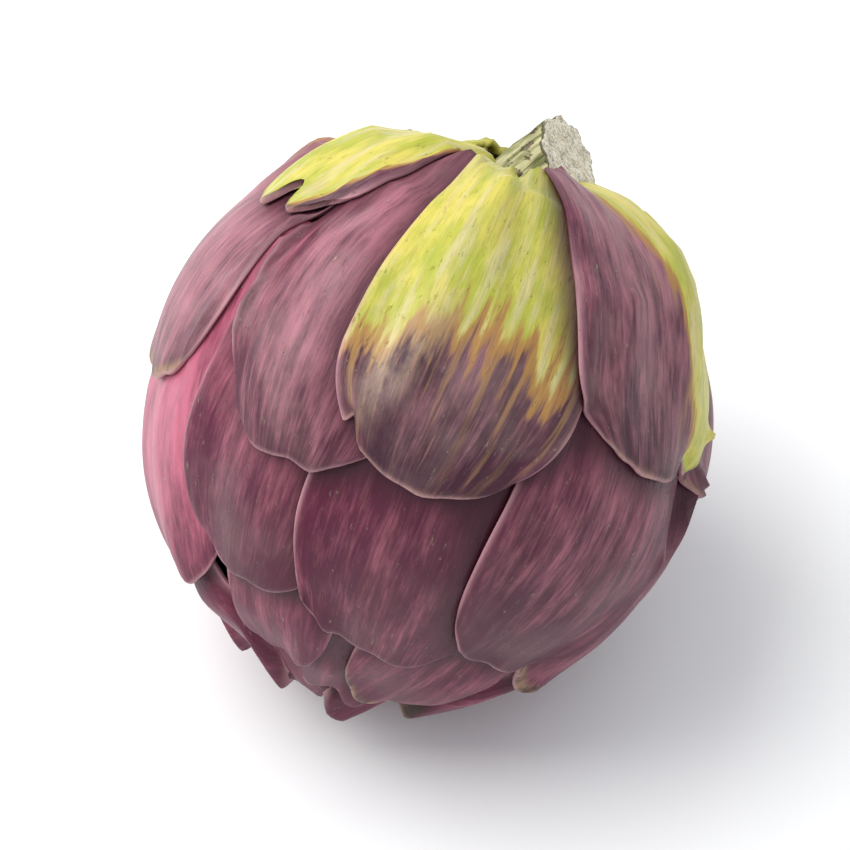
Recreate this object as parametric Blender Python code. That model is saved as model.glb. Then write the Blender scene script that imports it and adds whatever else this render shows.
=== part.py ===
"""A small purple globe artichoke, cut with a short stub of stem and lying as it was put down.

The head is drawn in its own frame first: its centre at the origin, +Z towards the closed tip, the stem
at -Z, and azimuth 0 on the side that faces the viewer. Every bract is a thin scale that is laid over the
ones inside it, from the innermost out, so that each rests on what it covers. The whole is then turned and
set down. Lengths are in metres and angles in degrees.
"""

import math
import random

import bmesh
import bpy
import numpy as np
from mathutils import Matrix, Vector
from mathutils.bvhtree import BVHTree

# The head: its radius from the stem (0) to the tip (180), and the core, evened until the bracts reach it
HEAD_RADIUS = 0.033
HEAD_STOPS = (0, 30, 60, 85, 110, 135, 160, 180)
HEAD_RADII = (0.0322, 0.0330, 0.0328, 0.0324, 0.0318, 0.0320, 0.0322, 0.0318)
CORE_START = 0.0245
CORE_BASE_FLAT = 0.0266
CORE_SIDES, CORE_RINGS = 28, 16
EVENING_ROUNDS = 3
EVENING_REACH = 14.0

# Where the bracts sit: one after another by the golden angle, outermost first, with root and tip moving up
BRACTS = 34
FREE_BRACTS = 24
VIEWED_BRACT = 5
GOLDEN_ANGLE = 137.508
ROOT_FIRST, ROOT_CLIMB, ROOT_CURVE = 15, 74, 1.9
TIP_FIRST, TIP_CLIMB, TIP_CURVE = 76, 115, 0.80
TIP_PLAY = 2
SWAY = 5

# The outline of a bract: half widths, how far it stays broad, and how round and notched its end is
FREE_HALF_WIDTH, FREE_NARROWING, FREE_CURVE = 0.0128, 0.0072, 1.6
INNER_HALF_WIDTH, INNER_NARROWING, INNER_CURVE = 0.0100, 0.0036, 3
ROOT_SHARE, BROAD_UNTIL, ROUND_END = 0.52, 0.68, 0.5
NOTCH_DEPTH, NOTCH_WIDTH = 0.035, 0.22

# How the bracts are laid
CLEARANCE = 0.0005
ROOTED_REACH = 0.015
EDGE_THICKNESS = 0.0009
MIDRIB_THICKNESS = 0.0022
TIP_LIFT = 0.0004
ACROSS, ALONG = 8, 11
INNER_ACROSS, INNER_ALONG = 8, 8
SAMPLES_PER_CELL = 5
STIFFNESS = 0.42
HUGGING = 0.32
DRAWING_ROUNDS = 16
CLEARING_ROUNDS = 6

# The stem, which leans and is cut at a slant: how far its slice lies from the centre and aside, and how it faces
STEM_RADIUS = 0.0057
STEM_FLARE = 0.0011
STEM_RIBS = 9
STEM_RIB_DEPTH = 0.0003
STEM_SIDES = 36
STEM_RINGS = (0.08, 0.2, 0.4)
STEM_LEAN, LEAN_CURVE = 0.0035, 1.3
SLICE_REACH = 0.0353
SLICE_TILT = 45.0
SLICE_FACES = -60.0

# How the head lies: the way its tip points, its turn about its own axis, and how deep its flats are
DIP = 40.6
HEADING = 241.4
SPIN = 162.7
FOOT_REACH = 0.0296
FOOT_DEPTH = 0.0008

SEED = 7

# Single bracts that differ from the rule: (turn, tip, half width), in degrees, degrees and metres
OWN_WAYS = {
    0: (-22, 4, 0.0012),
    2: (8, -28, -0.0052),
    3: (0, -10, 0.0),
    5: (-6, -3, 0.0010),
    7: (-8, -8, 0.0),
    8: (4, 20, 0.0020),
    10: (-4, -18, 0.0005),
    13: (14, 11, 0.0018),
    15: (4, 1, -0.0010),
    18: (14, -10, 0.0020),
    21: (7, 6, 0.0),
    23: (-20, -2, 0.0),
}

PURPLE = (0.23, 0.06, 0.11, 1)
ROSE = (0.36, 0.09, 0.15, 1)
PALE_GREEN = (0.52, 0.53, 0.30, 1)


def head_form(toward):
    """The head's radius in one direction: broad at the stem, blunt at the tip, and flat where it lies."""
    from_stem = math.degrees(toward.angle(Vector((0, 0, -1))))
    radius = float(np.interp(from_stem, HEAD_STOPS, HEAD_RADII))
    below = toward.dot(foot_direction())
    return min(radius, FOOT_REACH / below) if below > 0 else radius


def bract_plan(index):
    """Where one bract sits and how large it is, by the spiral rule and then its own way."""
    draw = random.Random(SEED * 1000 + index)
    share = index / BRACTS
    turn, tip, width = OWN_WAYS.get(index, (0, 0, 0.0))
    half_width = INNER_HALF_WIDTH - INNER_NARROWING * share**INNER_CURVE
    if index < FREE_BRACTS:
        half_width = FREE_HALF_WIDTH - FREE_NARROWING * share**FREE_CURVE + width
    return {
        "azimuth": (VIEWED_BRACT - index) * GOLDEN_ANGLE + turn,
        "root": ROOT_FIRST + ROOT_CLIMB * share**ROOT_CURVE,
        "tip": TIP_FIRST + TIP_CLIMB * share**TIP_CURVE + tip + draw.uniform(-TIP_PLAY, TIP_PLAY),
        "half_width": half_width,
        "sway": draw.uniform(-SWAY, SWAY),
        "lift": TIP_LIFT * draw.uniform(0.4, 1.8),
        "notch": draw.uniform(0.6, 1.4),
    }


def direction(azimuth, polar, aside):
    """A unit vector: down the meridian to the polar angle, then aside along the great circle across it."""
    turn, down, across = (math.radians(a) for a in (azimuth, polar, aside))
    outward = Vector((math.cos(turn), math.sin(turn), 0))
    tangent = Vector((-math.sin(turn), math.cos(turn), 0))
    along = outward * math.sin(down) - Vector((0, 0, 1)) * math.cos(down)
    return along * math.cos(across) + tangent * math.sin(across)


def outline_share(v):
    """Half the bract's width at v, from 0 at the root to 1 at the tip, as a share of its widest."""
    rising = math.sin(math.pi / 2 * min(v / BROAD_UNTIL, 1))
    return (ROOT_SHARE + (1 - ROOT_SHARE) * rising) * math.sqrt(1 - ROUND_END * end_share(v) ** 2)


def end_share(v):
    """0 where the bract is still broad, 1 at the tip."""
    return max(v - BROAD_UNTIL, 0) / (1 - BROAD_UNTIL)


def bract_direction(plan, u, v):
    """The direction of a point of the bract: u from -1 to 1 across it, v from 0 to 1 along it."""
    rounded = (1 - BROAD_UNTIL) * end_share(v) * (1 - math.sqrt(1 - ROUND_END * u**2))
    notched = NOTCH_DEPTH * plan["notch"] * v**9 * math.exp(-((u / NOTCH_WIDTH) ** 2))
    along = v - rounded - notched
    polar = plan["root"] + (plan["tip"] - plan["root"]) * along
    half_angle = math.degrees(plan["half_width"] / HEAD_RADIUS)
    aside = half_angle * outline_share(v) * u + plan["sway"] * v**2
    return direction(plan["azimuth"], polar, aside)


def thickness(u, v):
    """Fleshy along the middle and at the root, thin at the margin and the tip."""
    body = (1 - abs(u) ** 2.4) * (1 - 0.65 * v**3)
    return EDGE_THICKNESS + (MIDRIB_THICKNESS - EDGE_THICKNESS) * body


class Pile:
    """What has been laid so far, which the next bract rests on."""

    def __init__(self):
        self.points = []
        self.faces = []
        self.tree = None

    def add(self, mesh):
        start = len(self.points)
        self.points += [v.co.copy() for v in mesh.vertices]
        self.faces += [[start + i for i in p.vertices] for p in mesh.polygons]
        self.tree = BVHTree.FromPolygons(self.points, self.faces)

    def reach(self, toward):
        """The pile's radius in one direction."""
        far = 2 * HEAD_RADIUS
        hit = self.tree.ray_cast(toward * far, -toward)
        return hit[0].length if hit[0] else 0.0


def triangle_weights(steps):
    """Each sample's share of its cell's four corners, for both ways to split the cell in two triangles."""
    t, s = np.mgrid[0 : 1 : (steps + 1) * 1j, 0 : 1 : (steps + 1) * 1j]
    none = np.zeros_like(s)
    rising = np.where(s >= t, (1 - s, s - t, t, none), (1 - t, none, s, t - s))
    falling = np.where(s + t <= 1, (1 - s - t, s, none, t), (none, 1 - t, s + t - 1, 1 - s))
    return rising, falling


def rise_needed(corners, windows):
    """How far each cell corner must rise for the triangles between them to clear every fine sample."""
    offsets = ((0, 0), (0, 1), (1, 1), (1, 0))
    rows, columns = windows.shape[:2]
    quads = np.stack([corners[r : r + rows, c : c + columns] for r, c in offsets], axis=-1)
    rise = np.zeros_like(corners)
    for shares in triangle_weights(windows.shape[2] - 1):
        lack = np.maximum(windows - np.einsum("rcq,qij->rcij", quads, shares), 0)
        push = lack / (shares**2).sum(axis=0)
        for share, (r, c) in zip(shares, offsets):
            here = rise[r : r + rows, c : c + columns]
            np.maximum(here, (push * share).max(axis=(2, 3)), out=here)
    return rise


def neighbour_mean(values):
    padded = np.pad(values, 1, mode="edge")
    return (padded[:-2, 1:-1] + padded[2:, 1:-1] + padded[1:-1, :-2] + padded[1:-1, 2:]) / 4


def taut_over(under, steps):
    """Heights for the cell corners of a stiff sheet that is drawn tight over the fine samples."""
    touching = under[::steps, ::steps]
    corners = touching.copy()
    windows = np.lib.stride_tricks.sliding_window_view(under, (steps + 1, steps + 1))[::steps, ::steps]
    for _ in range(DRAWING_ROUNDS):
        corners = corners + STIFFNESS * (neighbour_mean(corners) - corners) + HUGGING * (touching - corners)
        corners += rise_needed(corners, windows)
    for _ in range(CLEARING_ROUNDS):
        corners += rise_needed(corners, windows)
    return corners


def inner_reach(plan, pile, across, along):
    """The radius of the bract's inner face at each corner of its grid, resting on the pile."""
    u_fine = np.linspace(-1, 1, across * SAMPLES_PER_CELL + 1)
    v_fine = np.linspace(0, 1, along * SAMPLES_PER_CELL + 1)
    under = np.array([[pile.reach(bract_direction(plan, u, v)) for u in u_fine] for v in v_fine])
    return taut_over(under, SAMPLES_PER_CELL)


def bract_mesh(name, plan, pile, across, along, rooted=False):
    """A closed scale: a doubled grid, with its inner face on the pile or, if rooted, deep in the core."""
    resting = inner_reach(plan, pile, across, along)
    bm = bmesh.new()
    bmesh.ops.create_grid(bm, x_segments=across, y_segments=along, size=1)
    bmesh.ops.triangulate(bm, faces=bm.faces[:], quad_method="FIXED")
    inner = set(bm.verts)
    bmesh.ops.extrude_face_region(bm, geom=bm.faces[:], use_keep_orig=True)
    for vert in bm.verts:
        u, v = vert.co.x, (vert.co.y + 1) / 2
        row, column = round(v * along), round((u + 1) / 2 * across)
        radius = resting[row, column] + CLEARANCE + plan["lift"] * v**8
        if vert not in inner:
            radius += thickness(u, v)
        elif rooted:
            radius = ROOTED_REACH
        vert.co = bract_direction(plan, u, v) * radius
    return made_mesh(bm, name)


def core_mesh(radius_at):
    """The packed inside of the head: a ball with its own radius in each direction, flat at the stem."""
    bm = bmesh.new()
    bmesh.ops.create_uvsphere(bm, u_segments=CORE_SIDES, v_segments=CORE_RINGS, radius=1)
    for vert in bm.verts:
        toward = vert.co.normalized()
        vert.co = toward * radius_at(toward)
        vert.co.z = max(vert.co.z, -CORE_BASE_FLAT)
    return made_mesh(bm, "heart")


def stem_lean(depth):
    """How far the stem's middle has moved aside at a depth below its top."""
    return STEM_LEAN * (depth / (SLICE_REACH - CORE_BASE_FLAT)) ** LEAN_CURVE


def stem_mesh():
    """The stub: a ribbed round that flares into the head, leans to one side and is sliced at a slant."""
    top = -CORE_BASE_FLAT - CLEARANCE
    length = 2 * (SLICE_REACH - CORE_BASE_FLAT)
    bm = bmesh.new()
    bmesh.ops.create_cone(
        bm, cap_ends=True, segments=STEM_SIDES, radius1=1, radius2=1, depth=length,
        matrix=Matrix.Translation((0, 0, top - length / 2)),
    )
    for share in STEM_RINGS:
        every = bm.verts[:] + bm.edges[:] + bm.faces[:]
        bmesh.ops.bisect_plane(bm, geom=every, plane_co=(0, 0, top - share * length), plane_no=(0, 0, 1))
    for vert in bm.verts:
        down = (top - vert.co.z) / length
        around = math.atan2(vert.co.y, vert.co.x)
        radius = STEM_RADIUS + STEM_FLARE * (1 - down) ** 5 + STEM_RIB_DEPTH * math.cos(STEM_RIBS * around)
        aside = stem_lean(max(top - vert.co.z, 0))
        vert.co.xy = math.cos(around) * radius, math.sin(around) * radius - aside
    faces = Matrix.Rotation(math.radians(SLICE_FACES), 3, "Z")
    tilt = Matrix.Rotation(math.radians(180 - SLICE_TILT), 3, "Y")
    sliced(bm, (0, -STEM_LEAN, -SLICE_REACH), faces @ tilt @ Vector((0, 0, 1)))
    return made_mesh(bm, "stem")


def sliced(bm, point, away):
    """Cuts off what lies beyond a plane and closes the cut."""
    every = bm.verts[:] + bm.edges[:] + bm.faces[:]
    cut = bmesh.ops.bisect_plane(
        bm, geom=every, dist=1e-7, plane_co=point, plane_no=away, clear_outer=True
    )["geom_cut"]
    rim = [item for item in cut if isinstance(item, bmesh.types.BMEdge) and item.is_boundary]
    bmesh.ops.holes_fill(bm, edges=rim)


def made_mesh(bm, name):
    bmesh.ops.triangulate(bm, faces=bm.faces[:])
    bmesh.ops.recalc_face_normals(bm, faces=bm.faces[:])
    if bm.calc_volume(signed=True) < 0:
        bmesh.ops.reverse_faces(bm, faces=bm.faces[:])
    mesh = bpy.data.meshes.new(name)
    bm.to_mesh(mesh)
    bm.free()
    return mesh


def resting_turn():
    """Turns the head's own frame to how it lies."""
    spin = Matrix.Rotation(math.radians(SPIN), 4, "Z")
    tip_down = Matrix.Rotation(math.radians(90 + DIP), 4, "Y")
    heading = Matrix.Rotation(math.radians(HEADING), 4, "Z")
    return heading @ tip_down @ spin


def foot_direction():
    """The way down, seen from the head's own frame."""
    return resting_turn().inverted() @ Vector((0, 0, -1))


def material(name, colour, roughness):
    made = bpy.data.materials.new(name)
    made.use_nodes = True
    shader = made.node_tree.nodes["Principled BSDF"]
    shader.inputs["Base Color"].default_value = colour
    shader.inputs["Roughness"].default_value = roughness
    return made


def outer_skin(mesh):
    """Keeps the largest closed skin, which fills the small hollows shut in between the joined pieces."""
    bm = bmesh.new()
    bm.from_mesh(mesh)
    left = set(bm.faces)
    skins = []
    while left:
        skin, rim = set(), {left.pop()}
        while rim:
            skin |= rim
            rim = {near for face in rim for edge in face.edges for near in edge.link_faces} - skin
        left -= skin
        skins.append(skin)
    largest = max(skins, key=len)
    bmesh.ops.delete(bm, geom=[face for face in bm.faces if face not in largest], context="FACES")
    return made_mesh(bm, mesh.name)


def fused(mesh, others):
    """The mesh joined with the others in one closed skin."""
    extras = bpy.data.collections.new("to_be_joined")
    for other in others:
        extras.objects.link(bpy.data.objects.new(other.name, other))
    whole = bpy.data.objects.new(mesh.name, mesh)
    bpy.context.scene.collection.objects.link(whole)
    join = whole.modifiers.new("join", "BOOLEAN")
    join.operation = "UNION"
    join.operand_type = "COLLECTION"
    join.solver = "MANIFOLD"
    join.collection = extras
    bpy.context.view_layer.update()
    result = bpy.data.meshes.new_from_object(whole.evaluated_get(bpy.context.evaluated_depsgraph_get()))
    result.name = mesh.name
    for obj in list(extras.objects) + [whole]:
        bpy.data.objects.remove(obj)
    bpy.data.collections.remove(extras)
    return outer_skin(result)


def lay(core):
    """All bracts on the core: the fused inner ones, the free ones by name, and the pile they make."""
    pile = Pile()
    pile.add(core)
    inner, free = [], {}
    for index in range(BRACTS - 1, FREE_BRACTS - 1, -1):
        plan = bract_plan(index)
        inner.append(bract_mesh(f"inner_{index}", plan, pile, INNER_ACROSS, INNER_ALONG, rooted=True))
        pile.add(inner[-1])
    for index in range(FREE_BRACTS - 1, -1, -1):
        name = f"bract_{index + 1:02d}"
        free[name] = bract_mesh(name, bract_plan(index), pile, ACROSS, ALONG)
        pile.add(free[name])
    return inner, free, pile


def mean_reach(pile, toward):
    """The pile's radius about one direction, evened out over the steps from bract to bract."""
    side = toward.orthogonal().normalized()
    around = [Matrix.Rotation(math.radians(turn), 3, toward) @ side for turn in range(0, 360, 60)]
    aside = [math.tan(math.radians(EVENING_REACH * share)) for share in (0.5, 1)]
    near = [toward] + [toward + way * far for far in aside for way in around]
    return sum(pile.reach(n.normalized()) for n in near) / len(near)


def laid_head():
    """Every piece of the head in its own frame, by name, on a core that makes the whole evenly round."""
    def radius_at(toward):
        return CORE_START

    for _ in range(EVENING_ROUNDS):
        pile = lay(core_mesh(radius_at))[2]

        def radius_at(toward, pile=pile, before=radius_at):
            return before(toward) + head_form(toward) - mean_reach(pile, toward)

    core = core_mesh(radius_at)
    inner, free, _ = lay(core)
    return {"stem": stem_mesh(), "heart": fused(core, inner), **free}


def set_down(meshes):
    """Turns the pieces to how the head lies, centres them, and planes the lowest bracts flat."""
    for mesh in meshes.values():
        mesh.transform(resting_turn())
    corners = np.array([v.co for mesh in meshes.values() for v in mesh.vertices])
    low, high = corners.min(axis=0), corners.max(axis=0)
    move = Matrix.Translation((-(low[0] + high[0]) / 2, -(low[1] + high[1]) / 2, -low[2] - FOOT_DEPTH))
    for name, mesh in meshes.items():
        mesh.transform(move)
        bm = bmesh.new()
        bm.from_mesh(mesh)
        sliced(bm, (0, 0, 0), (0, 0, -1))
        meshes[name] = made_mesh(bm, name)


def main():
    for obj in list(bpy.data.objects):
        bpy.data.objects.remove(obj)
    meshes = laid_head()
    set_down(meshes)
    finishes = {
        "stem": material("cut_stem", PALE_GREEN, 0.8),
        "heart": material("inner_bracts", ROSE, 0.6),
        "bract": material("outer_bracts", PURPLE, 0.6),
    }
    collection = bpy.data.collections.new("artichoke")
    bpy.context.scene.collection.children.link(collection)
    for name, mesh in meshes.items():
        mesh.materials.clear()
        mesh.materials.append(finishes[name.split("_")[0]])
        collection.objects.link(bpy.data.objects.new(name, mesh))


main()
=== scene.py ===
# %% [markdown]
# # A small purple artichoke
#
# An artichoke is a flower bud. Its head is a pile of thick, spoon-shaped leaves called bracts, which spiral
# up from the stem and close over one another at the tip. This lesson dresses a imported model of one: each
# coarse solid of the model gets a fine skin with thin margins, ribs, dents and dry tips, and then the colours
# of a real head: plum and mauve, yellow-green near the stem, and orange streaks where the two meet.
#
# The imported model comes first. It is the frame that everything else follows.

# %% The frame
import math
import random

import bmesh
import bpy
import numpy as np
from mathutils import Matrix, Vector, noise
from mathutils.bvhtree import BVHTree


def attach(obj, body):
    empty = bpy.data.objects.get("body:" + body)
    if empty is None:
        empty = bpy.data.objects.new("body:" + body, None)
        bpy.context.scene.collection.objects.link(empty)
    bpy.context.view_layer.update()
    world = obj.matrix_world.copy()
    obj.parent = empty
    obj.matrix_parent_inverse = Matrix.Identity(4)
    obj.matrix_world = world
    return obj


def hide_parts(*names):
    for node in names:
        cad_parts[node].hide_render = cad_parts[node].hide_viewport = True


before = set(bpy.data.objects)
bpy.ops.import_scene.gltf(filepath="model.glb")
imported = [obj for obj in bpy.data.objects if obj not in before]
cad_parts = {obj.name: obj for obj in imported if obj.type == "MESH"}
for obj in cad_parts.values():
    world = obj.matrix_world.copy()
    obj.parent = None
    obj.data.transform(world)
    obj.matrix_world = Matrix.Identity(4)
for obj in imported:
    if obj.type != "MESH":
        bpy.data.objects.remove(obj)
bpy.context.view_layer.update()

MM = 0.001
print("solids in the frame:", len(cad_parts))

# %% [markdown]
# ## How the head lies
#
# The bracts are easiest to draw in the head's own frame: its centre at the origin, the closed tip at +Z, the
# stem at -Z, and azimuth 0 towards the viewer. Three turns bring it to how it lies, the same three as in the
# model. The centre is read off the stem, whose upper end is a flat ring a known way below the centre.

# %% The head's own frame
DIP = 40.6
HEADING = 241.4
SPIN = 162.7
STEM_TOP = 0.0270


def turned(angle, axis):
    """A turn by an angle in degrees."""
    return Matrix.Rotation(math.radians(angle), 3, axis)


TURN = turned(HEADING, "Z") @ turned(90 + DIP, "Y") @ turned(SPIN, "Z")


def head_centre():
    """The head's centre in the row frame, from the ring at the top of the stem."""
    corners = [TURN.inverted() @ v.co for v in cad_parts["stem"].data.vertices]
    highest = max(c.z for c in corners)
    ring = [c for c in corners if highest - c.z < 0.01 * MM]
    middle = (Vector(map(max, zip(*ring))) + Vector(map(min, zip(*ring)))) / 2
    return TURN @ (middle + Vector((0, 0, STEM_TOP)))


CENTRE = head_centre()
print("head centre, mm:", [round(c / MM, 2) for c in CENTRE])

# %% [markdown]
# ## The spiral rule
#
# Every bract has a place on the spiral, a golden angle on from the one before, and is a strip of the head's
# surface. `u` runs from -1 at its right margin to 1 at its left one, and `v` from 0 at the root to 1 at the
# tip. The rule is the model's own, so that each fine skin lies where its solid does. What is added here are
# the small things of a real margin: it waves, and it has a notch at the end, which in some bracts is a deep
# split. A few bracts are also a little broader, longer or further to one side than their solids, and the
# roots next to the stem are drawn in until they meet it.

# %% Where each bract sits
SEED = 7
BRACTS = 34
FREE_BRACTS = 24
VIEWED_BRACT = 5
GOLDEN_ANGLE = 137.508
HEAD_RADIUS = 0.033
OWN_WAYS = {
    0: (-22, 4, 0.0012),
    2: (8, -28, -0.0052),
    3: (0, -10, 0.0),
    5: (-6, -3, 0.0010),
    7: (-8, -8, 0.0),
    8: (4, 20, 0.0020),
    10: (-4, -18, 0.0005),
    13: (14, 11, 0.0018),
    15: (4, 1, -0.0010),
    18: (14, -10, 0.0020),
    21: (7, 6, 0.0),
    23: (-20, -2, 0.0),
}


def bract_plan(index):
    """Where one bract sits and how large it is, by the spiral rule and then its own way."""
    draw = random.Random(SEED * 1000 + index)
    share = index / BRACTS
    turn, tip, width = OWN_WAYS.get(index, (0, 0, 0.0))
    half_width = 0.0100 - 0.0036 * share**3
    if index < FREE_BRACTS:
        half_width = 0.0128 - 0.0072 * share**1.6 + width
    plan = {"index": index, "azimuth": (VIEWED_BRACT - index) * GOLDEN_ANGLE + turn}
    plan["root"] = 15 + 74 * share**1.9
    plan["tip"] = 76 + 115 * share**0.80 + tip + draw.uniform(-2, 2)
    plan["half_width"] = half_width
    plan["sway"] = draw.uniform(-5, 5)
    draw.uniform(0.4, 1.8)  # the model draws one more value here, which the skins have no use for
    plan["notch"] = draw.uniform(0.6, 1.4)
    plan["length"] = math.radians(plan["tip"] - plan["root"]) * HEAD_RADIUS
    return plan


for index in (0, VIEWED_BRACT, FREE_BRACTS - 1):
    print("bract", index + 1, "is", round(bract_plan(index)["length"] / MM, 1), "mm long")

# %% The outline of a bract
ROOT_SHARE, BROAD_UNTIL, ROUND_END = 0.52, 0.68, 0.5
NOTCH_DEPTH, NOTCH_WIDTH = 0.035, 0.22


def outline(u, v):
    """The shares of the length and of the half width: broad for most of the length, with a round end."""
    end = np.clip((v - BROAD_UNTIL) / (1 - BROAD_UNTIL), 0, 1)
    rising = ROOT_SHARE + (1 - ROOT_SHARE) * np.sin(np.pi / 2 * np.clip(v / BROAD_UNTIL, 0, 1))
    short = (1 - BROAD_UNTIL) * end * (1 - np.sqrt(1 - ROUND_END * u**2))
    return v - short, rising * np.sqrt(1 - ROUND_END * end**2)


def wave(places, seed, scale):
    """Smooth noise between -1 and 1 at each place of an array."""
    flat = [noise.noise(Vector((p * scale, seed * 3.7, 0.5))) for p in np.ravel(places)]
    return np.reshape(flat, np.shape(places))


# %% A real margin
# By bract: shares of the half width, of the length and of the slanted end, degrees at the tip, and splits by
# their place across, depth and width.
REAL_WIDTH = 1.05
BROADENED = {2: -0.10, 5: 0.02, 13: 0.12, 15: 0.45, 18: 0.12, 21: 0.15}
LENGTHENED = {15: 0.07}
SLANTED = {2: 0.14}
SWUNG = {2: 3.0, 5: 6.0, 15: -2.0, 18: 1.5}
SPLITS = {
    0: (-0.45, 0.07, 0.10),
    2: (0.08, 0.34, 0.24),
    5: (0.86, 0.06, 0.09),
    7: (0.20, 0.06, 0.10),
}
REAL_NOTCH_WIDTH = 0.16
UNEVEN_END, UNEVEN_SIDE = 0.010, 0.025


def real_margin(plan, u, v, down_share, width_share):
    """The plain outline's two shares, made uneven and fitted to the bract."""
    index = plan["index"]
    down_share = down_share - SLANTED.get(index, 0) * np.clip(-u, 0, 1) * v**4
    down_share = down_share * (1 + LENGTHENED.get(index, 0)) - UNEVEN_END * wave(u, index, 4.0) * v**6
    uneven = UNEVEN_SIDE * wave(v + 9 * np.sign(u), index, 3.0) * v
    return down_share, width_share * (REAL_WIDTH + BROADENED.get(index, 0) + uneven)


# %% Roots that meet the stem
STEM_ANGLE, NEAR_STEM, DRAWN_OUT = 9.5, 22, 0.22
ROOT_NARROWED = 0.30


def at_stem(plan, v):
    """1 at the root of a bract that sits by the stem, fading out along it."""
    return np.clip(1 - v / DRAWN_OUT, 0, 1) ** 1.5 * (plan["root"] < NEAR_STEM)


def directions(plan, u, v, real):
    """Unit vectors in the head's own frame for each u and v, with the solid's plain margin or a real one."""
    place, depth, width = 0.0, NOTCH_DEPTH * plan["notch"], NOTCH_WIDTH
    down_share, width_share = outline(u, v)
    swing = plan["sway"]
    if real:
        place, depth, width = SPLITS.get(plan["index"], (0.0, 0.5 * depth, REAL_NOTCH_WIDTH))
        down_share, width_share = real_margin(plan, u, v, down_share, width_share)
        swing += SWUNG.get(plan["index"], 0)
    down_share = down_share - depth * v**9 * np.exp(-(((u - place) / width) ** 2))
    angle = plan["root"] + (plan["tip"] - plan["root"]) * down_share
    if real:
        angle = angle - (plan["root"] - STEM_ANGLE) * at_stem(plan, v)
        width_share = width_share * (1 - ROOT_NARROWED * at_stem(plan, v))
    return on_the_sphere(plan, u, v, np.radians(angle), width_share, swing)


def on_the_sphere(plan, u, v, down, width_share, swing):
    """Unit vectors that lie so far down from the stem and so far aside of the middle of the bract."""
    aside = plan["half_width"] / HEAD_RADIUS * width_share * u + np.radians(swing) * v**2
    turn = math.radians(plan["azimuth"])
    outward = np.array((math.cos(turn), math.sin(turn), 0.0))
    tangent = np.array((-math.sin(turn), math.cos(turn), 0.0))
    meridian = np.sin(down)[..., None] * outward - np.cos(down)[..., None] * np.array((0.0, 0.0, 1.0))
    return meridian * np.cos(aside)[..., None] + tangent * np.sin(aside)[..., None]


fitted = sorted(set(BROADENED) | set(LENGTHENED) | set(SLANTED) | set(SWUNG))
print("bracts fitted to the photograph:", [index + 1 for index in fitted])

# %% [markdown]
# ## Reading the solids
#
# A ray from outside towards the head's centre meets the outer face of a solid. Shot at the corners of the
# model's coarse grid, such rays give back the few heights that shape one bract. A cubic B-spline through them
# is a smooth sheet that goes where the solid goes, without its facets. A bract is stiff, so the sheet is also
# drawn towards the nearest plain curve, and bridges the hollows below it.

# %% Rays and splines
FAR = 0.1
CAD_ACROSS, CAD_ALONG = 8, 11


def head_tree(points, faces):
    """A tree of faces for rays in the head's own frame."""
    return BVHTree.FromPolygons([tuple(p) for p in points], faces)


def node_tree(name):
    """A solid of the frame, brought into the head's own frame, ready for rays."""
    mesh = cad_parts[name].data
    back = TURN.inverted()
    points = [back @ (v.co - CENTRE) for v in mesh.vertices]
    return head_tree(points, [list(p.vertices) for p in mesh.polygons])


def reach_from_outside(tree, toward):
    """How far from the centre a ray that comes in from outside first meets the tree, or 0."""
    out = Vector(toward)
    hit = tree.ray_cast(out * FAR, -out)
    return hit[0].length if hit[0] else 0.0


def reach_from_inside(tree, toward):
    """How far a ray from the centre gets before it meets the tree, or FAR."""
    hit = tree.ray_cast(Vector(), Vector(toward))
    return hit[0].length if hit[0] else FAR


def reaches(measure, tree, ways):
    """The measure for a whole grid of directions."""
    flat = [measure(tree, way) for way in ways.reshape(-1, 3)]
    return np.array(flat).reshape(ways.shape[:2])


def spline_weights(places, knots):
    """How much each evenly spaced knot counts at each place from 0 to 1, one extra knot at both ends."""
    away = np.abs(places[:, None] * (knots - 1) - np.arange(-1, knots + 1)[None, :])
    near = 2 / 3 - away**2 + away**3 / 2
    far = np.clip(2 - away, 0, None) ** 3 / 6
    return np.where(away < 1, near, far)


EVENNESS = 0.7


def even_shape(heights, u, v):
    """The nearest plainly curved sheet to the heights, of low powers of u and v."""
    powers = [u**i * v**j for i in range(4) for j in range(4)]
    terms = np.stack([p.ravel() for p in powers], axis=1)
    return (terms @ np.linalg.lstsq(terms, heights.ravel(), rcond=None)[0]).reshape(heights.shape)


def solid_heights(plan, tree, u, v):
    """The solid's outer face as a smooth sheet over the fine grid with columns u and rows v."""
    u_knots = np.linspace(-1, 1, CAD_ACROSS + 1)
    v_knots = np.linspace(0, 1, CAD_ALONG + 1)
    inset_u, inset_v = np.meshgrid(0.985 * u_knots, 0.01 + 0.98 * v_knots)
    corners = reaches(reach_from_outside, tree, directions(plan, inset_u, inset_v, False))
    corners[corners == 0] = corners[corners > 0].mean()
    corners += EVENNESS * (even_shape(corners, inset_u, inset_v) - corners)
    corners = np.pad(corners, 1, mode="reflect", reflect_type="odd")
    across = spline_weights((u + 1) / 2, CAD_ACROSS + 1)
    along = spline_weights(v, CAD_ALONG + 1)
    return along @ corners @ across.T


print("knots of a sheet:", (CAD_ACROSS + 1) * (CAD_ALONG + 1))

# %% [markdown]
# ## A bract's skin
#
# A bract is fleshy along the middle and thin at its margin, where both faces round off to meet. Its outer
# face isn't smooth: it has a low keel towards the tip, shallow flutes and dents, and a margin that lifts in
# waves. One bract, the broad one that faces the viewer, also has a fold. The grid is finest at the margin, so
# that the rounded edge is real geometry. It is made as a plain grid, doubled by extruding it, and then every
# vertex is moved to its place.

# %% Thickness and relief
EDGE = 0.65 * MM
MIDDLE = 1.6 * MM
ROUNDED_OVER = 0.70 * MM
ROOT_THINNED = 0.5


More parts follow.
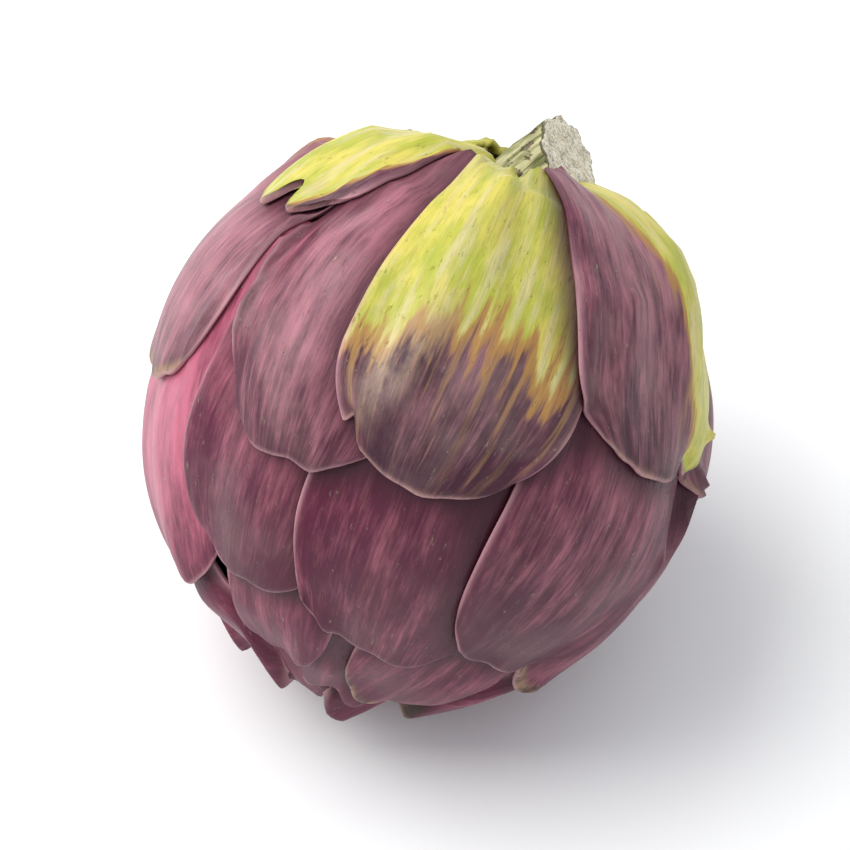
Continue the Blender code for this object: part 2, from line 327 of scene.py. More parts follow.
def margin_distance(plan, u, v):
    """Metres from each point of the grid to the nearest margin of the bract."""
    side = (1 - np.abs(u)) * plan["half_width"] * outline(u, v)[1]
    end = (1 - v) * plan["length"]
    return np.minimum(side, end)


def thicknesses(plan, u, v):
    """Fleshy in the middle, thin at the margin, with an edge that is rounded like a half pipe."""
    body = (1 - np.abs(u) ** 2.2) * (1 - 0.8 * v**3)
    share = np.clip(margin_distance(plan, u, v) / ROUNDED_OVER, 0, 1)
    rounded = np.sqrt(1 - (1 - share) ** 2)
    return (EDGE + (MIDDLE - EDGE) * body) * (0.12 + 0.88 * rounded) * (1 - ROOT_THINNED * at_stem(plan, v))


print("a skin is", EDGE / MM, "to", MIDDLE / MM, "mm thick")

# %% Relief
PUFF, KEEL, LIPS = 1.45, 0.25, 0.20
FLUTES, DENTS = 0.14, 0.26
FOLDED_BRACT = VIEWED_BRACT
FOLD_RISE, FOLD_DROP, FOLD_WIDTH = 0.7, 0.6, 0.15


def rippled(u, v, seed, across, along):
    """Noise that is finer across the bract than along it."""
    flat = [noise.noise(Vector((a * across, b * along, seed))) for a, b in zip(u.ravel(), v.ravel())]
    return np.reshape(flat, u.shape)


def fold_line(v):
    """Where the fold of the folded bract runs: from its middle out to its left lobe."""
    return 0.25 + 0.85 * (v - 0.4)


def relief(plan, u, v):
    """What a real outer face has over a smooth one, in metres: puff, keel, flutes, dents and wavy lips."""
    seed = plan["index"] * 5.3
    puff = (1 - np.abs(u) ** 3) * np.clip(v / 0.45, 0, 1) ** 1.5 * (1 - v**6)
    keel = np.exp(-((u / 0.20) ** 2)) * v**3 * (1 - v**8)
    calm = (1 - np.abs(u) ** 6) * (1 - v**8)
    fine = FLUTES * rippled(u, v, seed, 5.5, 1.6) + DENTS * rippled(u, v, seed + 40, 2.0, 3.2)
    lips = np.abs(u) ** 5 * v**2 * wave(v + 5 * np.sign(u), plan["index"] + 60, 5.0)
    total = PUFF * puff + KEEL * keel + fine * calm + LIPS * lips
    if plan["index"] == FOLDED_BRACT:
        beside = u - fold_line(v)
        crest = FOLD_RISE * np.exp(-((beside / FOLD_WIDTH) ** 2))
        total += np.clip((v - 0.25) / 0.35, 0, 1) * (crest - FOLD_DROP * np.clip(beside, 0, 1))
    return MM * total


# %% Numpy helpers for sheets
def softened(sheet, rounds):
    """The sheet with each value pulled to the mean of its neighbours, a number of times."""
    for _ in range(rounds):
        p = np.pad(sheet, 1, mode="edge")
        sheet = (p[:-2, 1:-1] + p[2:, 1:-1] + p[1:-1, :-2] + p[1:-1, 2:] + 2 * sheet) / 6
    return sheet


def raised_clear(sheet, floor, rounds=6):
    """The sheet, raised gently where it would sink below the floor."""
    lack = np.maximum(floor - sheet, 0)
    lift = lack
    for _ in range(rounds):
        lift = np.maximum(softened(lift, 1), lack)
    return sheet + lift


def pressed_under(sheet, ceiling, rounds=6):
    """The sheet, lowered gently where it would rise above the ceiling."""
    return -raised_clear(-sheet, -ceiling, rounds)


# %% The grid of a bract
# The lines crowd towards the margins and the tip. The lowest skins are pressed flat where they meet the
# floor.
ACROSS, ALONG = 40, 60
PRESSED = 0.5 * MM
x = np.linspace(-1, 1, ACROSS + 1)
y = np.linspace(0, 1, ALONG + 1)
U_LINE = 1.5 * x - 0.5 * x**3
V_LINE = 1 - (1 - y) ** 1.6
U, V = np.meshgrid(U_LINE, V_LINE)


def in_row_frame(ways, heights):
    """Points at those heights in those directions, as the head lies, pressed flat at the floor."""
    points = (ways * heights[..., None]) @ np.array(TURN).T + np.array(CENTRE)
    points[..., 2] = (points[..., 2] + np.sqrt(points[..., 2] ** 2 + PRESSED**2)) / 2
    return points


def add_bract(bm, plan, outer, inner, marks):
    """Adds one closed bract to the bmesh, with its marks as vertex attributes."""
    sheet = bmesh.ops.create_grid(bm, x_segments=ACROSS, y_segments=ALONG, size=1)["verts"]
    faces = list({face for vert in sheet for face in vert.link_faces})
    under = set(sheet)
    raised = bmesh.ops.extrude_face_region(bm, geom=faces, use_keep_orig=True)["geom"]
    upper = [item for item in raised if isinstance(item, bmesh.types.BMVert)]
    layers = {name: bm.verts.layers.float[name] for name in marks}
    leaf = bm.verts.layers.float_vector["leaf"]
    for vert in sheet + upper:
        column = round((vert.co.x + 1) / 2 * ACROSS)
        row = round((vert.co.y + 1) / 2 * ALONG)
        u, v = U_LINE[column], V_LINE[row]
        vert.co = (inner if vert in under else outer)[row, column]
        vert[leaf] = (u * plan["half_width"], v * plan["length"], plan["index"] * 0.05)
        for name, layer in layers.items():
            vert[layer] = marks[name][row, column]


print("points over a bract:", U.size)

# %% [markdown]
# ## Laying the bracts
#
# The innermost bracts close the tip. Their solids are fused, so only the outside of the whole can be read.
# They are laid from the outside in: each takes the height of the fused solid where it shows, and is pressed
# down below the ones already laid where they cover it. The free bracts each have a solid to follow, and are
# laid from the innermost out. A sheet that would sink into what it covers is raised gently, so the edge of a
# bract beneath shows through the one on top, as it does on a real head, and a margin that would stand off is
# drawn in.

# %% Inner bracts, from the outside in
GAP = 0.10 * MM
INNER_RELIEF = 0.7


def grid_faces(columns, rows):
    """The quads of an open grid, for rays against a sheet of heights."""
    wide = columns + 1
    starts = [row * wide + column for row in range(rows) for column in range(columns)]
    return [(s, s + 1, s + wide + 1, s + wide) for s in starts]


SHEET_FACES = grid_faces(ACROSS, ALONG)


class Sheets:
    """Sheets of heights in the head's own frame, which the next bract has to clear."""

    def __init__(self):
        self.points = []
        self.faces = []
        self.tree = None

    def add(self, ways, heights):
        """Lays one more sheet on the ones before, and readies them all for rays."""
        start = len(self.points)
        self.points += [tuple(p) for p in (ways * heights[..., None]).reshape(-1, 3)]
        self.faces += [tuple(start + i for i in face) for face in SHEET_FACES]
        self.tree = BVHTree.FromPolygons(self.points, self.faces)


heart_tree = node_tree("heart")
ceilings = Sheets()
laid = {}
for index in range(FREE_BRACTS, BRACTS):
    plan = bract_plan(index)
    ways = directions(plan, U, V, True)
    top = softened(reaches(reach_from_outside, heart_tree, ways), 3)
    top = top + INNER_RELIEF * relief(plan, U, V) * V**2
    thick = thicknesses(plan, U, V)
    if ceilings.tree:
        top = pressed_under(top, reaches(reach_from_inside, ceilings.tree, ways) - GAP)
    ceilings.add(ways, top - thick)
    laid[index] = (plan, ways, top, thick)
print("inner bracts:", len(laid))

# %% Free bracts, from the inside out
MAY_STAND_OFF, DRAWN_AT_MOST = 0.35 * MM, 1.6 * MM
LAID_LATER = {18: 14.5}
SUNK_ROOT = 3.0 * MM


def drawn_in(top, rest):
    """The sheet, drawn towards what it rests on where its margin and tip stand off."""
    stands_off = np.clip(top - rest - MAY_STAND_OFF, 0, DRAWN_AT_MOST)
    share = np.clip(np.abs(U) ** 2.4 + V**4, 0, 1)
    return top - softened(stands_off * share, 3)


pile = Sheets()
for plan, ways, top, thick in laid.values():
    pile.add(ways, top)
for index in sorted(range(FREE_BRACTS), key=lambda i: -LAID_LATER.get(i, i)):
    plan = bract_plan(index)
    ways = directions(plan, U, V, True)
    thick = thicknesses(plan, U, V)
    rest = reaches(reach_from_outside, pile.tree, ways) + thick + GAP
    top = solid_heights(plan, node_tree(f"bract_{index + 1:02d}"), U_LINE, V_LINE) + relief(plan, U, V)
    top = top - SUNK_ROOT * at_stem(plan, V)
    top = raised_clear(drawn_in(top, rest), rest)
    pile.add(ways, top)
    laid[index] = (plan, ways, top, thick)
print("bracts laid:", len(laid), "with", len(pile.points), "points on their outer faces")

# %% [markdown]
# ## What the paint needs to know
#
# The colours of a bract follow its growth: yellow-green near the root and purple where the sun reached it,
# with ragged orange streaks between, and pinker where another bract kept the sun off. So each vertex carries
# a few marks: how far it is inside the green part, how near the margin, whose pale rim is partly a painted
# highlight, how dry, how pink, how pale with bloom and with painted light on the lit middle and upper part,
# how much painted shade lies below the bracts that cover it, and where a painted highlight runs along the
# fold. The materials add the streaks. The bracts that face the viewer have marks of their own, from the
# photograph: how far the green reaches from the root at five places, from the right margin to the left one,
# how dry the tip is, and the paleness at the root, the paleness at the tip, both bloom and painted light,
# and the pinkness.

# %% Marks
MARKS = ("green", "rim", "dry", "pink", "bloom_and_painted_light", "deep", "crest_highlight")
PLACES = (-1, -0.5, 0, 0.5, 1)
GREEN_REACH = {
    0: (1.35, 1.10, 0.25, -0.30, -0.50),
    1: (0.50, 0.60, 0.50, 0.30, 0.20),
    2: (0.20, 0.85, 1.40, 1.50, 1.40),
    3: (0.90, 0.80, 0.60, 0.50, 0.40),
    5: (0.56, 0.63, 0.57, 0.66, 0.72),
    7: (0.00, 0.00, 0.00, 0.10, 0.20),
    8: (-0.30, -0.30, -0.20, -0.20, -0.10),
    10: (-0.10, -0.20, -0.30, -0.30, -0.30),
    13: (-0.10, -0.20, -0.20, -0.10, 0.10),
    15: (-0.30, -0.30, -0.30, -0.30, -0.30),
    18: (0.45, 0.42, 0.25, 0.00, -0.10),
}
DRY_TIPS = {0: 0.6, 2: 0.7, 3: 0.8, 5: 0.5, 7: 1.0, 8: 0.4, 16: 1.3, 19: 1.4, 21: 0.9, 22: 1.4, 24: 1.4}
# Paleness at the root, paleness at the tip, and pinkness; the paleness is partly bloom and partly painted
# light on the lit upper part.
BLOOM_AND_PAINTED_LIGHT = {
    0: (0.55, 0.35, 0.15),
    2: (0.45, 0.25, 0.10),
    5: (0.60, 0.10, 0.10),
    7: (0.62, 0.56, 0.20),
    8: (1.00, -0.05, 0.42),
    10: (0.56, 0.42, 0.25),
    13: (0.05, 0.15, 0.55),
    15: (0.74, 0.66, 0.85),
    18: (1.00, -0.05, 0.50),
    21: (0.30, 0.30, 0.60),
}
# Shares of the painted shade under covering bracts, for bracts that get less of it.
PAINTED_SHADE_SHARE = {10: 0.8, 15: 0.15, 18: 0.6}
print("marks:", ", ".join(MARKS))

# %% How each mark is worked out
COVER_STARTS, COVER_FADE = 0.4 * MM, 36
GREENER_UNTIL = 12


def cover_over(ways, top):
    """1 where another bract lies over this one, fading out over a few millimetres."""
    above = top + COVER_STARTS
    flat = zip(ways.reshape(-1, 3), above.ravel())
    hidden = [pile.tree.ray_cast(Vector(way * height), Vector(way))[0] is not None for way, height in flat]
    return softened(np.reshape(hidden, top.shape).astype(float), COVER_FADE)


def green_mark(index, draw):
    """How far inside the green part each point is, as a share of the bract's length."""
    base = draw.uniform(-0.15, 0.50) if index < GREENER_UNTIL else draw.uniform(-0.3, 0.05)
    chance = [base + draw.uniform(-0.12, 0.12) for _ in PLACES]
    return np.interp(U, PLACES, GREEN_REACH.get(index, chance)) - V


def dry_mark(plan, away, draw):
    """Dry at the very tip, and faintly along the margin towards it."""
    tip_away = (1 - V) * plan["length"] / MM
    dryness = DRY_TIPS.get(plan["index"], draw.uniform(0.1, 0.6))
    return dryness * (np.exp(-tip_away / 1.8) + 0.35 * np.exp(-away / 0.5) * V**2)


def bloom_and_painted_light_mark(index, draw):
    """How pale each point is, from waxy dust and from painted light that is strongest along the middle, and
    one number for how pink the bract is.
    """
    chance = (draw.uniform(0.2, 0.6), draw.uniform(0.1, 0.5), 0.2 + 0.5 * min(index / 20, 1))
    at_root, at_tip, pinkness = BLOOM_AND_PAINTED_LIGHT.get(index, chance)
    middle = (1 - np.abs(U) ** 2.5) * (1 - V**6)
    return (at_root + (at_tip - at_root) * V) * (0.30 + 0.85 * middle), pinkness


def crest_highlight_mark(index):
    """1 along the crest of the fold, where a painted highlight goes."""
    if index != FOLDED_BRACT:
        return np.zeros_like(U)
    crest = np.exp(-(((U - fold_line(V)) / 0.16) ** 2))
    return crest * np.clip((V - 0.40) / 0.2, 0, 1) * np.clip((0.95 - V) / 0.2, 0, 1)


def marks_for(plan, ways, top):
    """The marks of one bract over its grid. The order of the random draws is part of the rule."""
    index = plan["index"]
    draw = random.Random(SEED * 77 + index)
    away = margin_distance(plan, U, V) / MM
    marks = {"green": green_mark(index, draw)}
    # The pale margin: partly paler tissue, partly a painted highlight along the edge.
    marks["rim"] = np.exp(-((away / 0.42) ** 2)) * np.clip(V * 2 - 0.4, 0, 1)
    marks["dry"] = dry_mark(plan, away, draw)
    # Paleness from bloom and from painted light on the lit middle of the bract.
    marks["bloom_and_painted_light"], pinkness = bloom_and_painted_light_mark(index, draw)
    covered = cover_over(ways, top)
    marks["pink"] = np.clip(pinkness + 0.45 * covered + 0.30 * np.abs(U) ** 3, 0, 1)
    # Painted shade: darker where another bract lies over this one.
    marks["deep"] = covered * PAINTED_SHADE_SHARE.get(index, 1)
    # A painted highlight along the crest of the fold.
    marks["crest_highlight"] = crest_highlight_mark(index)
    return marks


# %% How a piece is finished
def marked_bmesh():
    """An empty bmesh that has a layer for every mark."""
    bm = bmesh.new()
    for name in MARKS:
        bm.verts.layers.float.new(name)
    bm.verts.layers.float_vector.new("leaf")
    return bm


def finished(bm, name, *nodes):
    """A smooth-shaded piece from the bmesh, which rides on the root and stands for the nodes."""
    bmesh.ops.recalc_face_normals(bm, faces=bm.faces[:])
    mesh = bpy.data.meshes.new(name)
    bm.to_mesh(mesh)
    bm.free()
    mesh.shade_smooth()
    piece = bpy.data.objects.new(name, mesh)
    bpy.context.scene.collection.objects.link(piece)
    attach(piece, "root")
    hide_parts(*nodes)
    return piece


# %% [markdown]
# ## From sheets to pieces
#
# Each free bract becomes a piece of its own and takes the place of its solid. The inner bracts and a plain
# ball inside them, which stops the view between them, make up the heart.

# %% Pieces
def build_bract(bm, index):
    """Adds a laid bract to the bmesh."""
    plan, ways, top, thick = laid[index]
    add_bract(bm, plan, in_row_frame(ways, top), in_row_frame(ways, top - thick), marks_for(plan, ways, top))


bract_pieces = []
for index in range(FREE_BRACTS):
    node = f"bract_{index + 1:02d}"
    bm = marked_bmesh()
    build_bract(bm, index)
    bract_pieces.append(finished(bm, f"{node}_finished", node))
print("free bracts:", len(bract_pieces), "of", len(bract_pieces[0].data.polygons), "faces each")

# %% The heart
CORE_SHARE = 0.92

heart = marked_bmesh()
for index in range(FREE_BRACTS, BRACTS):
    build_bract(heart, index)
ball = bmesh.ops.create_uvsphere(heart, u_segments=64, v_segments=40, radius=1)["verts"]
for vert in ball:
    toward = vert.co.normalized()
    reach = min(reach_from_outside(heart_tree, toward), reach_from_inside(ceilings.tree, toward))
    vert.co = TURN @ (toward * reach * CORE_SHARE) + CENTRE
    vert[heart.verts.layers.float["green"]] = -0.5
    vert[heart.verts.layers.float["pink"]] = 0.3
    vert[heart.verts.layers.float_vector["leaf"]] = toward * 0.02
heart_piece = finished(heart, "heart_finished", "heart")
print("heart triangles:", sum(len(p.vertices) - 2 for p in heart_piece.data.polygons))

# %% [markdown]
# ## The cut stem
#
# The stub is a ribbed stalk, cut off at a slant with a knife. It starts as a plain cylinder of radius 1 whose
# end cap is inset in rings. Then every vertex is moved: its ring between the head and the cut follows the
# ribs, and the last ring and the cap lie on the slanted cut, where the fibres stand a little uneven.

# %% The stub
STEM_RADIUS = 5.7 * MM
STEM_FLARE = 1.1 * MM
STEM_RIBS, RIB_DEPTH = 9, 0.35 * MM
GROOVES, GROOVE_DEPTH = 31, 0.12 * MM
KNOT_HEIGHT, PIMPLE_HEIGHT = 0.35 * MM, 0.15 * MM
STEM_LEAN, LEAN_CURVE = 3.5 * MM, 1.3
SLICE_REACH = 35.3 * MM
SLICE_TILT = 45.0
SLICE_FACES = -60.0
STEM_SIDES, STEM_RINGS, CUT_RINGS = 108, 26, 12
CUT_UNEVEN = 0.25 * MM

KNIFE = turned(SLICE_FACES, "Z") @ turned(180 - SLICE_TILT, "Y") @ Vector((0, 0, 1))
SLICE_POINT = Vector((0, -STEM_LEAN, -SLICE_REACH))
STUB = SLICE_REACH - STEM_TOP


def stem_point(around, share, depth):
    """A point of the stalk, which flares into the head, is ribbed and knotty, and leans."""
    ribs = RIB_DEPTH * math.cos(STEM_RIBS * around) + GROOVE_DEPTH * math.cos(GROOVES * around + 2)
    place = Vector((3 * math.cos(around), 3 * math.sin(around), depth / (3 * MM)))
    knots = KNOT_HEIGHT * noise.noise(place) + PIMPLE_HEIGHT * noise.noise(place * 3)
    radius = share * (STEM_RADIUS + STEM_FLARE * max(1 - depth / (2 * STUB), 0) ** 5 + ribs + knots)
    aside = STEM_LEAN * (depth / STUB) ** LEAN_CURVE
    return Vector((math.cos(around) * radius, math.sin(around) * radius - aside, -STEM_TOP - depth))


def depth_of_cut(around, share):
    """How far down the stalk the knife passes through, found by halving."""
    low, high = 0.0, 3 * STUB
    for _ in range(24):
        middle = (low + high) / 2
        beyond = KNIFE.dot(stem_point(around, share, middle) - SLICE_POINT) > 0
        low, high = (low, middle) if beyond else (middle, high)
    return low


stem = marked_bmesh()
bmesh.ops.create_cone(stem, cap_ends=True, segments=STEM_SIDES, radius1=1, radius2=1, depth=1)
walls = [edge for edge in stem.edges if abs(edge.verts[0].co.z - edge.verts[1].co.z) > 0.5]
bmesh.ops.subdivide_edges(stem, edges=walls, cuts=STEM_RINGS)
cap = [min(stem.faces, key=lambda face: face.calc_center_median().z)]
for _ in range(CUT_RINGS):
    bmesh.ops.inset_region(stem, faces=cap, thickness=1 / (CUT_RINGS + 1), use_even_offset=True)
bmesh.ops.poke(stem, faces=cap)
for vert in stem.verts:
    down = 0.5 - vert.co.z
    around, share = math.atan2(vert.co.y, vert.co.x), vert.co.xy.length
    on_cut = down > 0.999
    vert.co = stem_point(around, share, down * depth_of_cut(around, share))
    if on_cut:
        uneven = noise.noise(vert.co * 900) + 0.5 * noise.noise(vert.co * 2400)
        vert.co += KNIFE * CUT_UNEVEN * uneven * (1 - share**6)
    across_fibres = vert.co.xyz if on_cut else Vector((around * STEM_RADIUS, vert.co.z, 0.3))
    vert[stem.verts.layers.float_vector["leaf"]] = across_fibres
    vert[stem.verts.layers.float["green"]] = 0.0 if on_cut else 1.0
    vert.co = TURN @ vert.co + CENTRE
stem_piece = finished(stem, "stem_finished", "stem")
print("stem triangles:", sum(len(p.vertices) - 2 for p in stem_piece.data.polygons))

# %% [markdown]
# ## Paint
#
# Fibres run the length of every bract and of the stem, so one group makes them: noise that is drawn out
# along the growth. It puts out fine fibres, broader bands, mottling, streaks and loose flecks as masks. The
# materials mix their colours with those masks, and the same fibres give the relief that is too fine for the
# mesh.

# %% Helpers for nodes
def add_node(tree, kind, **settings):
    """A new node of a kind in a tree, with its settings."""
    made = tree.nodes.new(kind)
    for name, value in settings.items():
        setattr(made, name, value)
    return made


def number(tree, operation, first, second=0.0, third=0.0):
    """A Math node on sockets or plain numbers, and its output."""
    made = add_node(tree, "ShaderNodeMath", operation=operation)
    for socket, value in zip(made.inputs, (first, second, third)):
        if isinstance(value, (int, float)):
            socket.default_value = value
        else:
            tree.links.new(value, socket)
    return made.outputs[0]


def between(tree, value, low, high):
    """0 at low and 1 at high, clamped and smooth."""
    made = add_node(tree, "ShaderNodeMapRange", interpolation_type="SMOOTHSTEP")
    tree.links.new(value, made.inputs["Value"])
    made.inputs["From Min"].default_value = low
    made.inputs["From Max"].default_value = high
    return made.outputs["Result"]


def mixed(tree, share, first, second):
    """Two colours, each a socket or a plain colour, mixed by a mask."""
    made = add_node(tree, "ShaderNodeMix", data_type="RGBA")
    tree.links.new(share, made.inputs[0])
    for socket, value in ((made.inputs[6], first), (made.inputs[7], second)):
        if isinstance(value, tuple):
            socket.default_value = (*value, 1)
        else:
            tree.links.new(value, socket)
    return made.outputs[2]


def faint(tree, mask, share):
    """A mask that reaches only a share of its strength."""
    return number(tree, "MULTIPLY", mask, share)


def swayed(tree, value, mask, weight):
    """The value, raised where the mask is above its middle and lowered where it is below."""
    return number(tree, "MULTIPLY_ADD", mask, weight, number(tree, "ADD", value, -weight / 2))


def attribute(tree, name, output="Fac"):
    """An attribute of the mesh, as one value or as a vector."""
    return add_node(tree, "ShaderNodeAttribute", attribute_name=name).outputs[output]


def cloudy(tree, vector, scale, detail=3.0, roughness=0.5):
    """Noise on a vector, from 0 to 1."""
    made = add_node(tree, "ShaderNodeTexNoise")
    tree.links.new(vector, made.inputs["Vector"])
    made.inputs["Scale"].default_value = scale
    made.inputs["Detail"].default_value = detail
    made.inputs["Roughness"].default_value = roughness
    return made.outputs["Fac"]


def stretched(tree, vector, scale):
    """The vector, scaled along each axis, so that a noise on it is drawn out."""
    made = add_node(tree, "ShaderNodeMapping")
    tree.links.new(vector, made.inputs["Vector"])
    made.inputs["Scale"].default_value = scale
    return made.outputs["Vector"]


# %% The fibres
def fibre_group():
    """Masks that are drawn out along the second axis of the vector that goes in."""
    group = bpy.data.node_groups.new("fibres", "ShaderNodeTree")
    group.interface.new_socket("Vector", in_out="INPUT", socket_type="NodeSocketVector")
    for name in ("Fine", "Bands", "Mottle", "Streaks", "Flecks"):
        group.interface.new_socket(name, in_out="OUTPUT", socket_type="NodeSocketFloat")
    into = add_node(group, "NodeGroupInput").outputs["Vector"]
    out = add_node(group, "NodeGroupOutput")
    fine = cloudy(group, stretched(group, into, (1, 0.07, 1)), 3200, 4.0, 0.6)
    bands = cloudy(group, stretched(group, into, (1, 0.12, 1)), 700, 3.0, 0.55)
    mottle = cloudy(group, stretched(group, into, (1, 0.35, 1)), 330, 5.0, 0.62)
    streaks = between(group, cloudy(group, stretched(group, into, (1, 0.05, 1)), 1050, 4.0, 0.6), 0.52, 0.64)
    flecks = between(group, cloudy(group, stretched(group, into, (1, 0.30, 1)), 1500, 5.0, 0.7), 0.60, 0.70)
    masks = {"Fine": fine, "Bands": bands, "Mottle": mottle, "Streaks": streaks, "Flecks": flecks}
    for name, mask in masks.items():
        group.links.new(mask, out.inputs[name])
    return group


FIBRES = fibre_group()
print("sockets of the fibre group:", ", ".join(item.name for item in FIBRES.interface.items_tree))


def fibres(tree, vector):
    """The masks of the fibre group, placed in a material."""
    made = add_node(tree, "ShaderNodeGroup", node_tree=FIBRES)
    tree.links.new(vector, made.inputs["Vector"])
    return made.outputs


def new_material(name, roughness):
    """A material with a Principled shader, and its tree and shader."""
    made = bpy.data.materials.new(name)
    made.use_nodes = True
    shader = made.node_tree.nodes["Principled BSDF"]
    shader.inputs["Roughness"].default_value = roughness
    return made, made.node_tree, shader


def bumped(tree, shader, height, depth):
    """Relief that is too fine for the mesh."""
    made = add_node(tree, "ShaderNodeBump")
    made.inputs["Distance"].default_value = depth
    tree.links.new(height, made.inputs["Height"])
    tree.links.new(made.outputs["Normal"], shader.inputs["Normal"])


# %% [markdown]
# ## The colours of a bract
#
# The purple runs from plum to a pale mauve where the skin is dusted with bloom and where painted light falls
# on the lit middle and upper part, and from magenta to rose where it was covered. The green part is mottled
# with yellow. Where the two meet, orange and tan streaks follow the fibres. Over both come a painted
# highlight along the crest of the fold, painted shade under the bracts that cover it, the dry tip and the
# pale margin, which is partly a painted highlight.

# %% Bract colours
PLUM = (0.045, 0.014, 0.026)
MAUVE = (0.400, 0.180, 0.215)
MAGENTA = (0.118, 0.010, 0.040)
ROSE = (0.520, 0.125, 0.200)
LEAF_GREEN = (0.390, 0.420, 0.045)
YELLOW = (0.640, 0.560, 0.110)
ORANGE = (0.380, 0.200, 0.060)
CREAM = (0.620, 0.520, 0.360)
# The pale margin's colour, partly a painted highlight.
PALE_MARGIN_AND_HIGHLIGHT = (0.620, 0.330, 0.370)
# Painted shade, for the dark under covering bracts.
PAINTED_SHADE_PLUM = (0.045, 0.008, 0.018)
UMBER = (0.050, 0.026, 0.018)
TAN = (0.300, 0.180, 0.110)
FROST = (0.360, 0.270, 0.250)


# %% Bract material
def purple_flesh(tree, leaf, masks):
    """Paler where the waxy dust and the painted light are, pinker where it was covered, with frosty patches
    and cream specks.
    """
    # Paleness from bloom and from painted light.
    pale = attribute(tree, "bloom_and_painted_light")
    for name, weight in (("Bands", 1.10), ("Fine", 0.90), ("Mottle", 1.10)):
        pale = swayed(tree, pale, masks[name], weight)
    pale = between(tree, pale, -0.05, 1.0)
    frosty = between(tree, cloudy(tree, leaf, 110, 3.0, 0.5), 0.42, 0.72)
    body = mixed(tree, faint(tree, frosty, 0.24), mixed(tree, pale, PLUM, MAUVE), FROST)
    body = mixed(tree, attribute(tree, "pink"), body, mixed(tree, pale, MAGENTA, ROSE))
    return mixed(tree, faint(tree, masks["Flecks"], 0.35), body, CREAM)


def green_flesh(tree, masks):
    """Green mottled with yellow, with paler ribs and a few orange fibres."""
    green = mixed(tree, between(tree, masks["Mottle"], 0.35, 0.65), LEAF_GREEN, YELLOW)
    green = mixed(tree, faint(tree, between(tree, masks["Bands"], 0.48, 0.66), 0.45), green, CREAM)
    return mixed(tree, faint(tree, between(tree, masks["Fine"], 0.50, 0.65), 0.25), green, ORANGE)


def flesh(tree, leaf, masks):
    """Purple and green, with ragged orange streaks where they meet."""
    inside = swayed(tree, attribute(tree, "green"), masks["Bands"], 0.50)
    inside = swayed(tree, inside, masks["Fine"], 0.16)
    near = between(tree, inside, -0.45, 0.02)
    streaky = number(tree, "MULTIPLY", masks["Streaks"], number(tree, "MULTIPLY_ADD", near, 0.85, 0.04))
    body = mixed(tree, streaky, purple_flesh(tree, leaf, masks), mixed(tree, masks["Mottle"], ORANGE, TAN))
    body = mixed(tree, between(tree, inside, -0.09, 0.00), body, ORANGE)
    return mixed(tree, between(tree, inside, 0.00, 0.09), body, green_flesh(tree, masks))


def aged_and_painted_light(tree, colour, masks):
    """The flesh with a painted highlight on the crest of its fold, painted shade under its covers, its dry tip
    and its pale margin, which is partly a painted highlight.
    """
    # A painted highlight of tan and cream along the crest of the fold.
    crest_highlight = number(tree, "MULTIPLY", attribute(tree, "crest_highlight"), between(tree, masks["Mottle"], 0.34, 0.62))
    colour = mixed(tree, faint(tree, crest_highlight, 0.70), colour, mixed(tree, masks["Bands"], TAN, CREAM))
    # Painted shade: darkened under the bracts that cover this one.
    colour = mixed(tree, faint(tree, between(tree, attribute(tree, "deep"), 0.00, 0.50), 0.92), colour, PAINTED_SHADE_PLUM)
    dry = mixed(tree, between(tree, masks["Mottle"], 0.42, 0.58), UMBER, TAN)
    colour = mixed(tree, between(tree, attribute(tree, "dry"), 0.25, 0.75), colour, dry)
    # The pale margin, partly a painted highlight.
    return mixed(tree, faint(tree, attribute(tree, "rim"), 0.60), colour, PALE_MARGIN_AND_HIGHLIGHT)


def bract_material():
    """Satin flesh, a little rougher on its fibres."""
    made, tree, shader = new_material("bract_flesh", 0.42)
    leaf = attribute(tree, "leaf", "Vector")
    masks = fibres(tree, leaf)
    tree.links.new(aged_and_painted_light(tree, flesh(tree, leaf, masks), masks), shader.inputs["Base Color"])
    rough = number(tree, "MULTIPLY_ADD", masks["Fine"], 0.25, 0.30)
    tree.links.new(rough, shader.inputs["Roughness"])
    shader.inputs["Specular IOR Level"].default_value = 0.32
    height = number(tree, "MULTIPLY_ADD", masks["Bands"], 2.0, masks["Fine"])
    height = number(tree, "MULTIPLY_ADD", masks["Mottle"], 1.5, height)
    bumped(tree, shader, number(tree, "ADD", height, masks["Flecks"]), 0.08 * MM)
    return made


# %% [markdown]
# ## The colours of the cut stem
#
# The side of the stalk is olive with cream ribs and brown pits. The cut face is pale pith, with fibres that
# end in it. The mark `green` tells one from the other.

# %% Stem material
STALK = (0.150, 0.160, 0.050)
RIB = (0.560, 0.520, 0.300)
PITH = (0.880, 0.840, 0.690)
BROWN = (0.090, 0.050, 0.028)


def stem_material():
    """Dull stalk and pith, both rough with fibres and pits."""
    made, tree, shader = new_material("cut_stalk", 0.7)
    place = attribute(tree, "leaf", "Vector")
    masks = fibres(tree, place)
    pits = between(tree, cloudy(tree, place, 620, 3.0, 0.6), 0.54, 0.64)
    side = mixed(tree, between(tree, masks["Bands"], 0.42, 0.58), STALK, RIB)
    side = mixed(tree, faint(tree, pits, 0.85), side, BROWN)
    face = mixed(tree, between(tree, masks["Fine"], 0.42, 0.55), CREAM, PITH)
    face = mixed(tree, faint(tree, pits, 0.30), face, RIB)
    colour = mixed(tree, between(tree, attribute(tree, "green"), 0.0, 0.6), face, side)
    tree.links.new(colour, shader.inputs["Base Color"])
    height = number(tree, "SUBTRACT", number(tree, "ADD", masks["Bands"], masks["Fine"]), pits)
    bumped(tree, shader, height, 0.35 * MM)
    return made


# %% Materials and slots
BRACT_FLESH = bract_material()
CUT_STALK = stem_material()
for piece in bract_pieces + [heart_piece]:
    piece.data.materials.append(BRACT_FLESH)
stem_piece.data.materials.append(CUT_STALK)
print("materials:", BRACT_FLESH.name, "and", CUT_STALK.name)

# %% [markdown]
# ## Floor, light and camera
#
# A high-key picture: a white floor, one large soft light from above on the left, a weak one on the right and
# an even sky that fill the shadows. The camera looks down on the head from the side that the bracts were
# measured from, and is rolled a little, so that the stem leans as in the photograph.

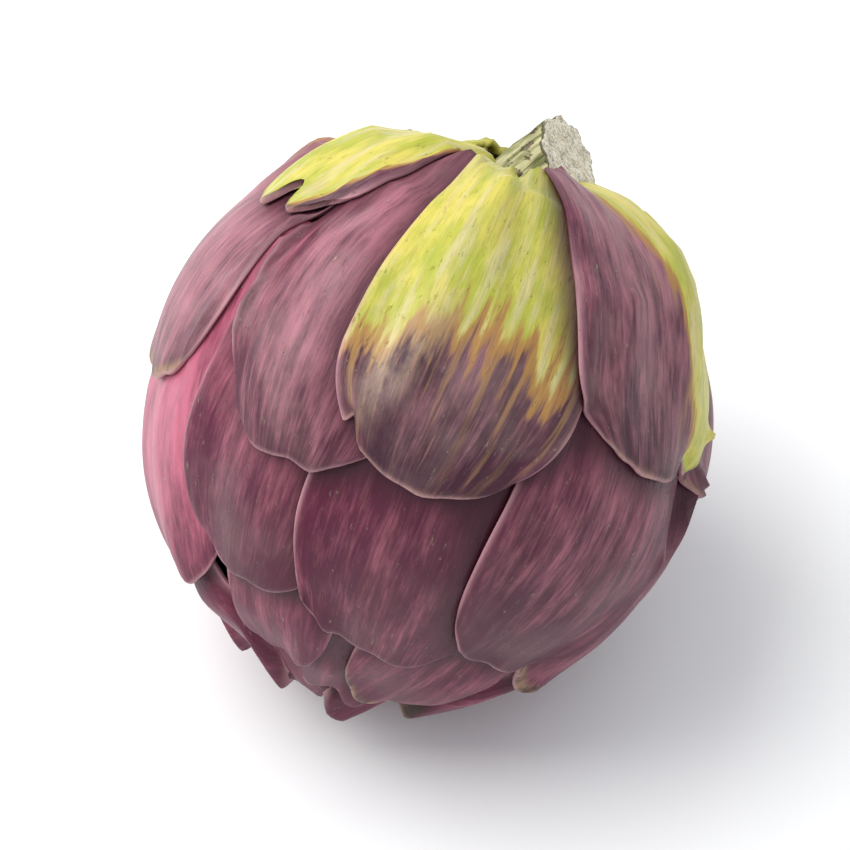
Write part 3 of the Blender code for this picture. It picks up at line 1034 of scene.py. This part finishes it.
# %% The floor
FLOOR_HALF = 3.0
floor_mesh = bmesh.new()
bmesh.ops.create_grid(floor_mesh, x_segments=1, y_segments=1, size=FLOOR_HALF)
floor_data = bpy.data.meshes.new("floor")
floor_mesh.to_mesh(floor_data)
floor_mesh.free()
floor = bpy.data.objects.new("floor", floor_data)
bpy.context.scene.collection.objects.link(floor)
paper, _, paper_shader = new_material("white_paper", 0.8)
paper_shader.inputs["Base Color"].default_value = (0.97, 0.975, 0.985, 1)
floor_data.materials.append(paper)
print("floor:", 2 * FLOOR_HALF, "m wide")

# %% Lights
def soft_light(name, place, size, power, colour=(1, 1, 1)):
    """A square area light that faces the head."""
    data = bpy.data.lights.new(name, "AREA")
    data.size = size
    data.energy = power
    data.color = colour
    lamp = bpy.data.objects.new(name, data)
    lamp.location = place
    lamp.rotation_euler = (CENTRE - Vector(place)).to_track_quat("-Z", "Y").to_euler()
    bpy.context.scene.collection.objects.link(lamp)
    return lamp


soft_light("window", (-0.55, 0.14, 0.80), 0.95, 11.0, (1.0, 0.98, 0.95))
soft_light("far_fill", (0.5, 0.5, 0.8), 0.9, 1.5)
world = bpy.data.worlds.new("studio")
world.use_nodes = True
world.node_tree.nodes["Background"].inputs["Color"].default_value = (0.93, 0.96, 1.0, 1)
world.node_tree.nodes["Background"].inputs["Strength"].default_value = 0.64
bpy.context.scene.world = world
bpy.context.scene.view_settings.view_transform = "Standard"
print("lights:", [light.name for light in bpy.data.lights])

# %% The camera
SIGHT = Vector((0.995, 0, -0.10))
LEAN = 22.6
DISTANCE = 0.80
FIELD = 0.0993

back = (TURN @ SIGHT).normalized()
axis = TURN @ Vector((0, 0, 1))
seen = (axis - back * axis.dot(back)).normalized()
angle = math.radians(180 - LEAN)
up = seen * math.cos(angle) - back.cross(seen) * math.sin(angle)
right = up.cross(back)
camera = bpy.data.objects.new("camera", bpy.data.cameras.new("camera"))
facing = Matrix((right, up, back)).transposed().to_4x4()
camera.matrix_world = Matrix.Translation(CENTRE + back * DISTANCE) @ facing
camera.data.sensor_width = 36
camera.data.lens = 36 * DISTANCE / FIELD
bpy.context.scene.collection.objects.link(camera)
bpy.context.scene.camera = camera
print("camera elevation:", round(math.degrees(math.asin(back.z)), 1), "lens:", round(camera.data.lens))
